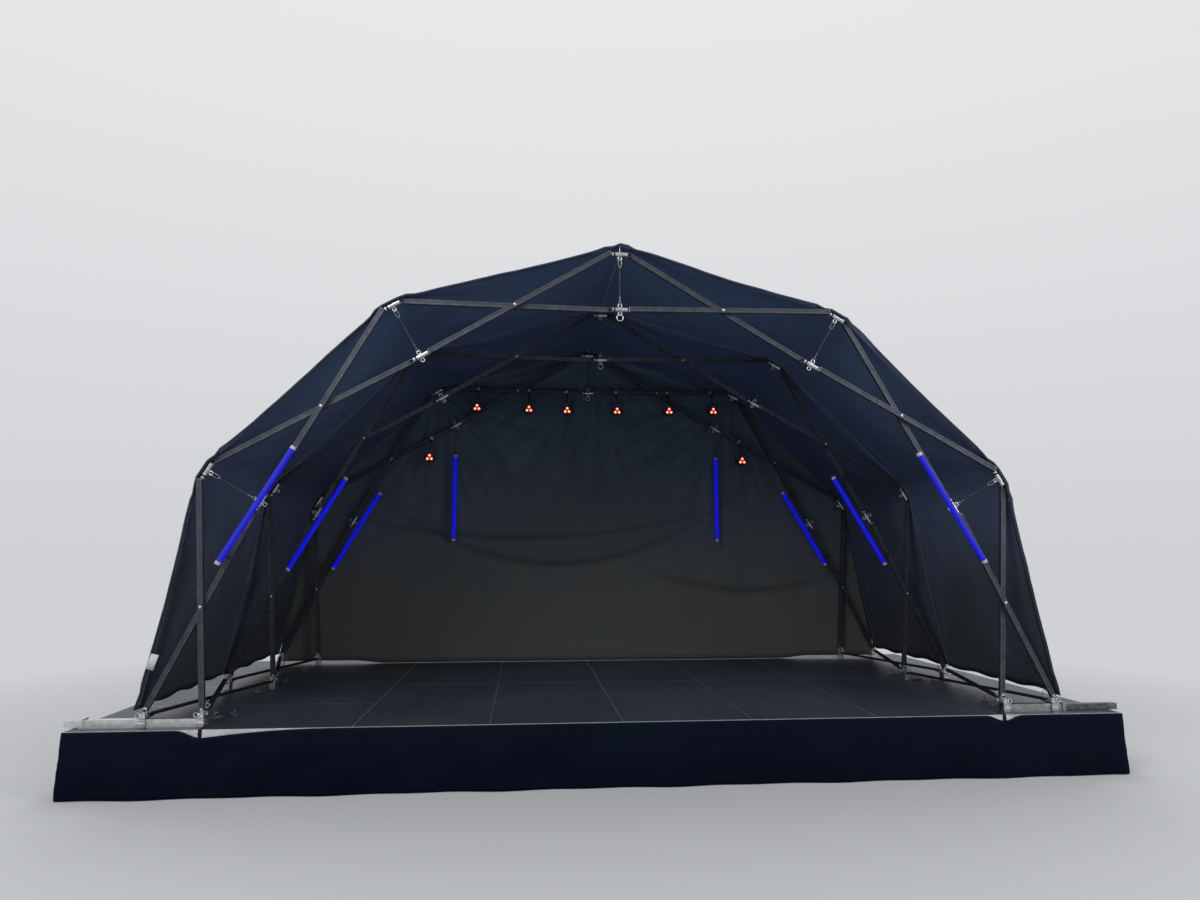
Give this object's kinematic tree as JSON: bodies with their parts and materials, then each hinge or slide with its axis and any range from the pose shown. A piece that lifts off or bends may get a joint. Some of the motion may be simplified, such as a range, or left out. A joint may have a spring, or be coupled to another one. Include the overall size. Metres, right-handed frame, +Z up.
{
  "type": "arched roof stage",
  "caption": "Low modular deck with a cloth skirt, scissor arches under a black cloth roof and back wall, light tubes and tilting lamps",
  "frame": {"origin": "On the ground, in the middle of the stage's footprint, with the beam extensions and the skirt", "axes": "+X to the right of the audience, +Y away from the audience, +Z up"},
  "size_m": [8.11, 4.038, 4.2806],
  "materials": {
    "board": "dark coated plywood, satin",
    "frame": "mill aluminium",
    "beam": "mill aluminium, light scratches",
    "cloth": "black coated polyester",
    "bar": "dark grey anodised",
    "fitting": "machined",
    "cable": "wire rope and steel hooks",
    "brace": "black powder coat",
    "light_tube": "lit frosted tube",
    "lamp": "black"
  },
  "bodies": {
    "stage": {"deck_frame_1": "frame", "deck_frame_2": "frame", "deck_frame_3": "frame", "deck_frame_4": "frame", "deck_board_1": "board", "deck_board_2": "board", "deck_board_3": "board", "deck_board_4": "board", "deck_skirt": "cloth", "roof_cover": "cloth", "back_wall": "cloth", "scissor_bar_1_front": "bar", "scissor_bar_1_rear": "bar", "scissor_bar_2_front": "bar", "scissor_bar_2_rear": "bar", "scissor_bar_3_front": "bar", "scissor_bar_3_rear": "bar", "scissor_bar_4_front": "bar", "scissor_bar_4_rear": "bar", "scissor_bar_5_front": "bar", "scissor_bar_5_rear": "bar", "scissor_bar_6_front": "bar", "scissor_bar_6_rear": "bar", "middle_arch_chain_a": "bar", "middle_arch_chain_b": "bar", "rear_arch_chain_a": "bar", "rear_arch_chain_b": "bar", "tension_cable_1": "cable", "tension_cable_2": "cable", "tension_cable_3": "cable", "tension_cable_4": "cable", "tension_cable_5": "cable", "front_foot_inner_left": "fitting", "front_foot_inner_right": "fitting", "front_foot_outer_left": "fitting", "front_foot_outer_right": "fitting", "floor_brace_front_left": "brace", "floor_brace_front_right": "brace", "floor_brace_rear_left": "brace", "floor_brace_rear_right": "brace", "base_beam_left": "beam", "base_beam_right": "beam", "led_tube_front_left": "light_tube", "led_tube_front_right": "light_tube", "led_tube_middle_left": "light_tube", "led_tube_middle_right": "light_tube", "led_tube_rear_left": "light_tube", "led_tube_rear_right": "light_tube", "led_tube_upright_left": "light_tube", "led_tube_upright_right": "light_tube"},
    "lamp_1": {"lamp_head_1": "lamp"},
    "lamp_2": {"lamp_head_2": "lamp"},
    "lamp_3": {"lamp_head_3": "lamp"},
    "lamp_4": {"lamp_head_4": "lamp"},
    "lamp_5": {"lamp_head_5": "lamp"},
    "lamp_6": {"lamp_head_6": "lamp"},
    "lamp_7": {"lamp_head_7": "lamp"},
    "lamp_8": {"lamp_head_8": "lamp"},
    "left_extension": {"beam_extension_left": "beam"},
    "right_extension": {"beam_extension_right": "beam"}
  },
  "joints": [
    {"name": "lamp_1_tilt", "type": "hinge", "parent": "stage", "child": "lamp_1", "pos_m": [-1.344, 1.47696, 3.48114], "axis": [1, 0, 0], "range_deg": [-45, 75]},
    {"name": "lamp_2_tilt", "type": "hinge", "parent": "stage", "child": "lamp_2", "pos_m": [-0.723, 1.47696, 3.47168], "axis": [1, 0, 0], "range_deg": [-45, 75]},
    {"name": "lamp_3_tilt", "type": "hinge", "parent": "stage", "child": "lamp_3", "pos_m": [-0.262, 1.47696, 3.46465], "axis": [1, 0, 0], "range_deg": [-45, 75]},
    {"name": "lamp_4_tilt", "type": "hinge", "parent": "stage", "child": "lamp_4", "pos_m": [0.348, 1.47696, 3.46596], "axis": [1, 0, 0], "range_deg": [-45, 75]},
    {"name": "lamp_5_tilt", "type": "hinge", "parent": "stage", "child": "lamp_5", "pos_m": [0.99, 1.47696, 3.47575], "axis": [1, 0, 0], "range_deg": [-45, 75]},
    {"name": "lamp_6_tilt", "type": "hinge", "parent": "stage", "child": "lamp_6", "pos_m": [1.54, 1.47696, 3.48413], "axis": [1, 0, 0], "range_deg": [-45, 75]},
    {"name": "lamp_7_tilt", "type": "hinge", "parent": "stage", "child": "lamp_7", "pos_m": [-1.89, 1.47696, 2.87045], "axis": [1, 0, 0], "range_deg": [-45, 75]},
    {"name": "lamp_8_tilt", "type": "hinge", "parent": "stage", "child": "lamp_8", "pos_m": [1.89, 1.47696, 2.87045], "axis": [1, 0, 0], "range_deg": [-45, 75]},
    {"name": "left_extension_slide", "type": "slide", "parent": "stage", "child": "left_extension", "axis": [-1, 0, 0], "range_m": [-0.1, 0.3]},
    {"name": "right_extension_slide", "type": "slide", "parent": "stage", "child": "right_extension", "axis": [1, 0, 0], "range_m": [-0.3, 0.1]}
  ]
}
